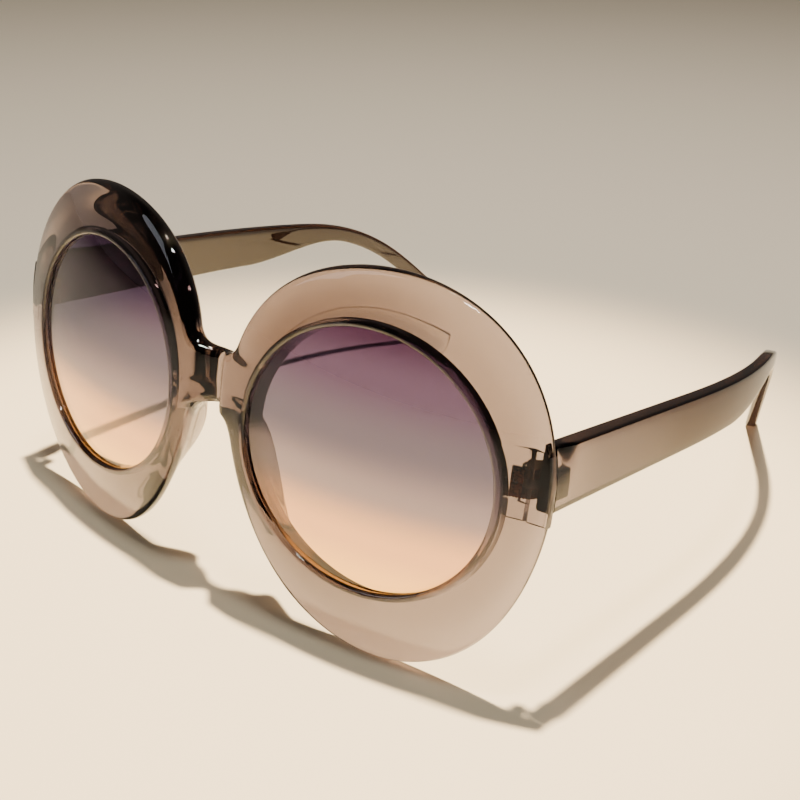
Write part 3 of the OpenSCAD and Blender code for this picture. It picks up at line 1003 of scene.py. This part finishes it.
panels = {  # azimuth and elevation from the glasses, distance, size, watts and colour
    "fill": (-40, 35, 1.4, (0.5, 0.9), 2.5, "#eef3ff"),
    "overhead": (60, 80, 1.3, (0.25, 0.07), 5, "#ffffff"),
}


def outwards(azimuth, elevation):
    return Vector((sind(azimuth) * cosd(elevation), -cosd(azimuth) * cosd(elevation), sind(elevation)))


def buildFloor():
    half = studio["floorSize"] / 2
    corners = [(-half, -half, 0), (half, -half, 0), (half, half, 0), (-half, half, 0)]
    floor = newPiece("floor", corners, [[0, 1, 2, 3]], [])
    material, tree, output = newMaterial("floorPaint")
    shader = addNode(
        tree,
        "ShaderNodeBsdfPrincipled",
        inputs={"Base Color": linear(studio["floorColour"]), "Roughness": studio["floorRoughness"]},
    )
    tree.links.new(shader.outputs[0], output.inputs["Surface"])
    floor.data.materials.append(material)


def hang(name, data, place, away):  # a lamp at a place, with its back towards away
    lamp = bpy.data.objects.new(name, data)
    turn = away.to_track_quat("Z", "Y").to_matrix().to_4x4()
    lamp.matrix_world = Matrix.Translation(place) @ turn
    bpy.context.scene.collection.objects.link(lamp)


def addPanel(name):
    azimuth, elevation, distance, size, watts, colour = panels[name]
    data = bpy.data.lights.new(name, "AREA")
    data.shape = "RECTANGLE"
    data.size, data.size_y = size
    data.energy = watts
    data.color = linear(colour)[:3]
    away = outwards(azimuth, elevation)
    hang(name, data, away * distance, away)


def addSpot(name):  # a soft-edged pool of light
    degrees, softness, watts, colour = spots[name]
    data = bpy.data.lights.new(name, "SPOT")
    data.spot_size = math.radians(degrees)
    data.spot_blend = softness
    data.shadow_soft_size = studio["keyRadius"]
    data.energy = watts
    data.color = linear(colour)[:3]
    data.cycles.use_multiple_importance_sampling = False
    place = Vector(studio["keyPlace"])
    hang(name, data, place, place - Vector(studio["keyAim"]))


def buildWorld():
    world = bpy.data.worlds.new("studio")
    world.use_nodes = True
    tree = world.node_tree
    place = addNode(tree, "ShaderNodeTexCoord")
    split = addNode(tree, "ShaderNodeSeparateXYZ", inputs={0: place.outputs["Generated"]})
    high, top = studio["wallTop"]
    low = addNode(
        tree, "ShaderNodeMapRange", inputs={"Value": split.outputs["Z"], "From Min": top, "From Max": high}
    )
    facing = addNode(
        tree,
        "ShaderNodeVectorMath",
        {"operation": "DOT_PRODUCT"},
        {0: place.outputs["Generated"], 1: -outwards(studio["azimuth"], 0)},
    )
    dim, lit = studio["wallSides"]
    behind = addNode(
        tree,
        "ShaderNodeMapRange",
        inputs={"Value": facing.outputs["Value"], "From Min": dim, "From Max": lit},
    )
    share = addNode(
        tree,
        "ShaderNodeMath",
        {"operation": "MULTIPLY"},
        {0: low.outputs[0], 1: behind.outputs[0]},
    )
    stops = ((0.0, studio["roomColour"]), (1.0, studio["wallColour"]))
    ramp = colourRamp(tree, share.outputs[0], stops, "EASE")
    tree.links.new(ramp.outputs[0], tree.nodes["Background"].inputs["Color"])
    bpy.context.scene.world = world


def buildCamera():
    data = bpy.data.cameras.new("camera")
    data.lens = studio["focalMm"]
    data.sensor_width = studio["sensorMm"]
    data.clip_start = studio["clipStart"]
    camera = bpy.data.objects.new("camera", data)
    back = outwards(studio["azimuth"], studio["elevation"])
    right = Vector((0, 0, 1)).cross(back).normalized()
    up = back.cross(right)
    rolledRight = right * cosd(studio["roll"]) + up * sind(studio["roll"])
    rolledUp = up * cosd(studio["roll"]) - right * sind(studio["roll"])
    turn = Matrix((rolledRight, rolledUp, back)).transposed().to_4x4()
    place = Vector(studio["target"]) + back * studio["distance"]
    camera.matrix_world = Matrix.Translation(place) @ turn
    bpy.context.scene.collection.objects.link(camera)
    bpy.context.scene.camera = camera


def buildStudio():
    buildFloor()
    for name in spots:
        addSpot(name)
    for name in panels:
        addPanel(name)
    buildWorld()
    buildCamera()


buildStudio()
print("studio made")
